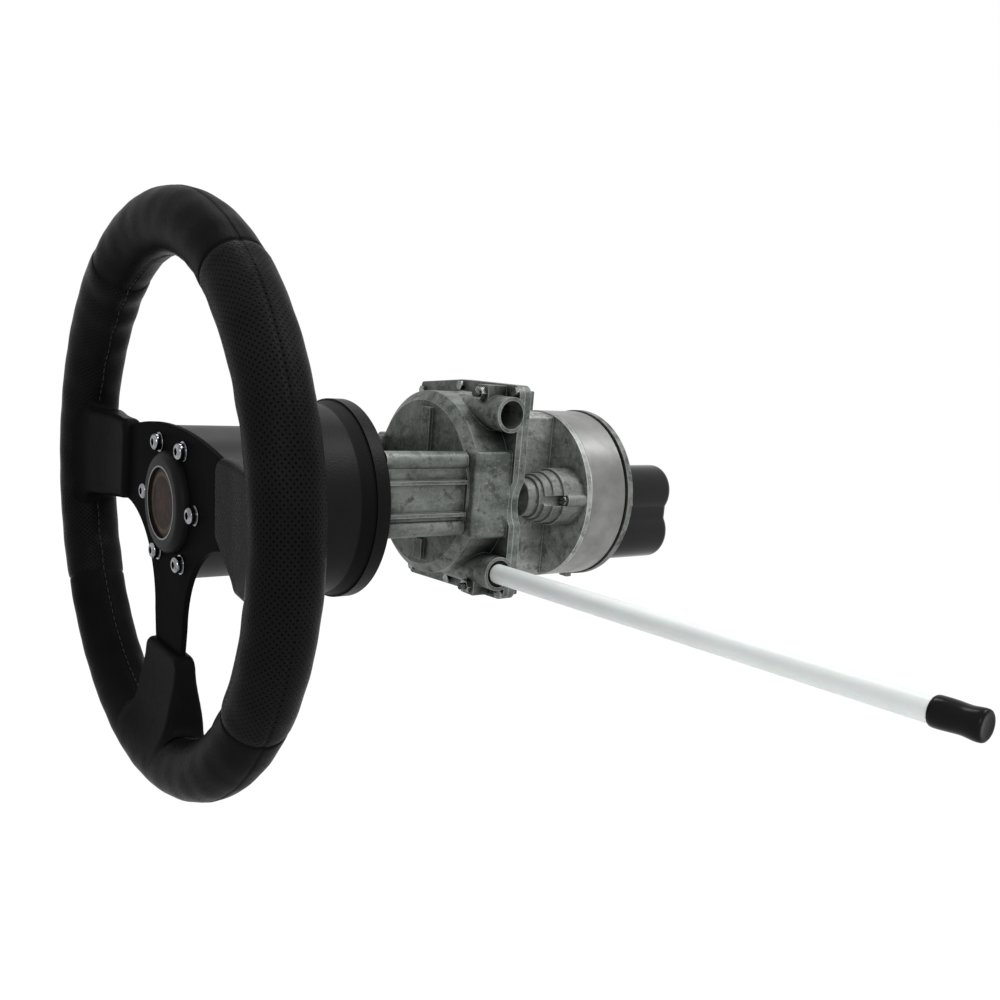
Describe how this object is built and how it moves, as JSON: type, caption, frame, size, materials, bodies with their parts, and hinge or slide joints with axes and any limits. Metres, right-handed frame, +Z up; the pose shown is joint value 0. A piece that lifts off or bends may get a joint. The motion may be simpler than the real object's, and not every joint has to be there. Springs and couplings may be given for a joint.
{
  "type": "autopilot drive",
  "caption": "Wheel drive for a boat: leather-rimmed sports wheel on a hub adapter, dash bezel, rotary cable helm, planetary gearbox, motor and spent-cable tube",
  "frame": {"origin": "centre of the dash plane on the steering shaft's axis, where the helm's foot and the back of the bezel meet", "axes": "+X along the shaft from the wheel into the dash, +Z up, -Y to the driver's right, where the cable ports open"},
  "size_m": [0.4099, 0.552, 0.343],
  "materials": {
    "grip_leather": "satin leather, partly perforated",
    "pad_leather": "satin moulded",
    "black_plate": "satin anodised black",
    "bright_chrome": "polished",
    "horn_plastic": "semi-gloss",
    "black_hub": "satin black",
    "black_bezel": "fine-grained satin",
    "cast_alloy": "as cast",
    "machined_alloy": "turned satin",
    "zinc_steel": "zinc plated",
    "gear_steel": "machined",
    "bush_bronze": "sintered",
    "gasket_dark": "matt",
    "motor_black": "gloss",
    "tube_white": "milky, slightly glossy",
    "cap_black": "dipped vinyl",
    "drum_nylon": "moulded"
  },
  "bodies": {
    "housing": {"helm_column": "cast_alloy", "helm_legs": "cast_alloy", "lever_boss": "cast_alloy", "ring_gear": "gear_steel", "helm_housing": "cast_alloy", "helm_back_plate": "cast_alloy", "helm_cover_screws": "zinc_steel", "dash_bezel": "black_bezel", "bezel_nut": "zinc_steel", "front_bush": "bush_bronze", "rear_bush": "bush_bronze", "idler_pin": "gear_steel", "port_clamp_bolts": "zinc_steel", "port_clamp_nuts": "zinc_steel", "travel_tube": "tube_white", "tube_sleeve": "cap_black", "tube_end_cap": "cap_black", "gearbox_casting": "cast_alloy", "lever_cover_screw": "zinc_steel", "ring_gear_band": "machined_alloy", "cover_gasket": "gasket_dark", "gearbox_cover": "cast_alloy", "cover_screws": "zinc_steel", "clutch": "zinc_steel", "drive_motor": "zinc_steel", "motor_cover": "motor_black"},
    "wheel": {"wheel_rim": "grip_leather", "spoke_plate": "black_plate", "left_spoke_pad": "pad_leather", "right_spoke_pad": "pad_leather", "lower_spoke_pad": "pad_leather", "wheel_bolts": "bright_chrome", "wheel_bolt_washers": "bright_chrome", "horn_surround": "horn_plastic", "horn_trim_ring": "bright_chrome", "hub_adapter": "black_hub", "shaft_washer": "zinc_steel", "shaft_nut": "zinc_steel", "shaft_key": "gear_steel", "steering_shaft": "gear_steel", "drive_pinion": "gear_steel", "planet_carrier": "gear_steel", "planet_pins": "gear_steel"},
    "horn": {"horn_button": "horn_plastic"},
    "idler": {"idler_gear": "gear_steel"},
    "drum": {"cable_drum": "drum_nylon"},
    "planet_1": {"planet_gear_1": "gear_steel"},
    "planet_2": {"planet_gear_2": "gear_steel"},
    "planet_3": {"planet_gear_3": "gear_steel"},
    "sun": {"sun_gear": "gear_steel", "clutch_wheel": "gear_steel"},
    "motor_rotor": {"motor_shaft": "gear_steel", "motor_pinion": "gear_steel"}
  },
  "joints": [
    {"name": "wheel_turn", "type": "hinge", "parent": "housing", "child": "wheel", "pos_m": [0, 0, 0], "axis": [1, 0, 0], "continuous": true},
    {"name": "horn_press", "type": "slide", "parent": "wheel", "child": "horn", "axis": [1, 0, 0], "range_m": [0, 0.0015], "stiffness_N_per_m": 500, "springref_m": -0.0015},
    {"name": "idler_turn", "type": "hinge", "parent": "housing", "child": "idler", "pos_m": [0, 0.0255, 0.00032], "axis": [1, 0, 0], "continuous": true},
    {"name": "drum_turn", "type": "hinge", "parent": "housing", "child": "drum", "pos_m": [0, 0, 0.0092], "axis": [1, 0, 0], "continuous": true},
    {"name": "planet_1_turn", "type": "hinge", "parent": "wheel", "child": "planet_1", "pos_m": [0, 0.02925, 0], "axis": [1, 0, 0], "continuous": true},
    {"name": "planet_2_turn", "type": "hinge", "parent": "wheel", "child": "planet_2", "pos_m": [0, -0.01463, 0.02533], "axis": [1, 0, 0], "continuous": true},
    {"name": "planet_3_turn", "type": "hinge", "parent": "wheel", "child": "planet_3", "pos_m": [0, -0.01463, -0.02533], "axis": [1, 0, 0], "continuous": true},
    {"name": "sun_turn", "type": "hinge", "parent": "housing", "child": "sun", "pos_m": [0, 0, 0], "axis": [1, 0, 0], "continuous": true},
    {"name": "motor_turn", "type": "hinge", "parent": "housing", "child": "motor_rotor", "pos_m": [0, 0, -0.031], "axis": [1, 0, 0], "continuous": true}
  ],
  "couplings": [
    {"joint": "idler_turn", "follows": "wheel_turn", "ratio": -0.88889},
    {"joint": "drum_turn", "follows": "wheel_turn", "ratio": -0.2963},
    {"joint": "planet_1_turn", "follows": "wheel_turn", "ratio": -2.8571},
    {"joint": "planet_2_turn", "follows": "wheel_turn", "ratio": -2.8571},
    {"joint": "planet_3_turn", "follows": "wheel_turn", "ratio": -2.8571},
    {"joint": "sun_turn", "follows": "wheel_turn", "ratio": 4.3333},
    {"joint": "motor_turn", "follows": "wheel_turn", "ratio": -18.056}
  ]
}
